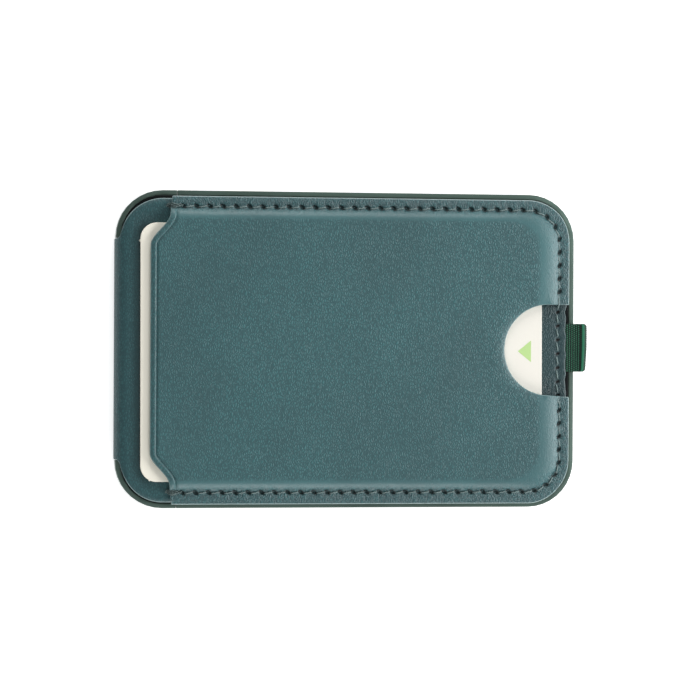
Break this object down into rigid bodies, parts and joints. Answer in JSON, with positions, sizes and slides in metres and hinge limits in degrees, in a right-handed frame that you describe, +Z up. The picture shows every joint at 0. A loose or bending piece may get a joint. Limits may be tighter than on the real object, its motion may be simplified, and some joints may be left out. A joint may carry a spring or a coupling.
{
  "type": "card holder",
  "caption": "Flat leather card holder on a magnetic base, with a moulded card pocket, thumb notch, pull tab and a folding leather spine that opens it into a stand.",
  "frame": {"origin": "centre of the magnet ring, on the back sheet's resting face", "axes": "+X along the holder towards the pull tab, +Y across it, +Z up out of the card pocket"},
  "size_m": [0.1005, 0.0662, 0.0076],
  "materials": {
    "moulded_leather": "grained, satin",
    "flat_leather": "grained, satin",
    "back_sheet": "fine grain, matte",
    "frame_polymer": "satin",
    "lining": "brushed microfibre",
    "ribbon": "ribbed grosgrain",
    "thread": "waxed thread",
    "magnet_nickel": "nickel plated",
    "shield_steel": "cold rolled",
    "fibre_board": "pressed fibre",
    "foil": "satin",
    "card_paper": "smooth board"
  },
  "bodies": {
    "base": {"base_frame": "frame_polymer", "base_back_sheet": "back_sheet", "base_lining": "lining", "shield_ring": "shield_steel", "ring_magnet_01": "magnet_nickel", "ring_magnet_02": "magnet_nickel", "ring_magnet_03": "magnet_nickel", "ring_magnet_04": "magnet_nickel", "ring_magnet_05": "magnet_nickel", "ring_magnet_06": "magnet_nickel", "ring_magnet_07": "magnet_nickel", "ring_magnet_08": "magnet_nickel", "ring_magnet_09": "magnet_nickel", "ring_magnet_10": "magnet_nickel", "ring_magnet_11": "magnet_nickel", "ring_magnet_12": "magnet_nickel", "ring_magnet_13": "magnet_nickel", "ring_magnet_14": "magnet_nickel", "ring_magnet_15": "magnet_nickel", "ring_magnet_16": "magnet_nickel", "alignment_magnet": "magnet_nickel", "closure_magnet_1": "magnet_nickel", "closure_magnet_2": "magnet_nickel"},
    "end_strip": {"end_frame": "frame_polymer", "end_lining": "lining", "hinge_tongue": "flat_leather", "hinge_spine": "flat_leather"},
    "pocket": {"front_shell": "moulded_leather", "rear_leather": "flat_leather", "pull_tab": "ribbon", "rear_lining": "lining", "rear_board": "fibre_board", "rfid_foil": "foil", "strike_plate_1": "shield_steel", "strike_plate_2": "shield_steel", "seam_thread_upper": "thread", "seam_thread_lower": "thread", "tab_thread": "thread"},
    "card": {"insert_card": "card_paper"}
  },
  "joints": [
    {"name": "strip_fold", "type": "hinge", "parent": "base", "child": "end_strip", "pos_m": [-0.036, 0, 0.003], "axis": [0, 1, 0], "range_deg": [0, 60]},
    {"name": "cover_hinge", "type": "hinge", "parent": "end_strip", "child": "pocket", "pos_m": [-0.0487, 0, 0.00315], "axis": [0, -1, 0], "range_deg": [0, 120], "deforming": ["hinge_spine"]},
    {"name": "card_slide", "type": "slide", "parent": "pocket", "child": "card", "axis": [-1, 0, 0], "range_m": [0, 0.084]}
  ],
  "couplings": [
    {"joint": "strip_fold", "follows": "cover_hinge", "ratio": 0.5}
  ]
}
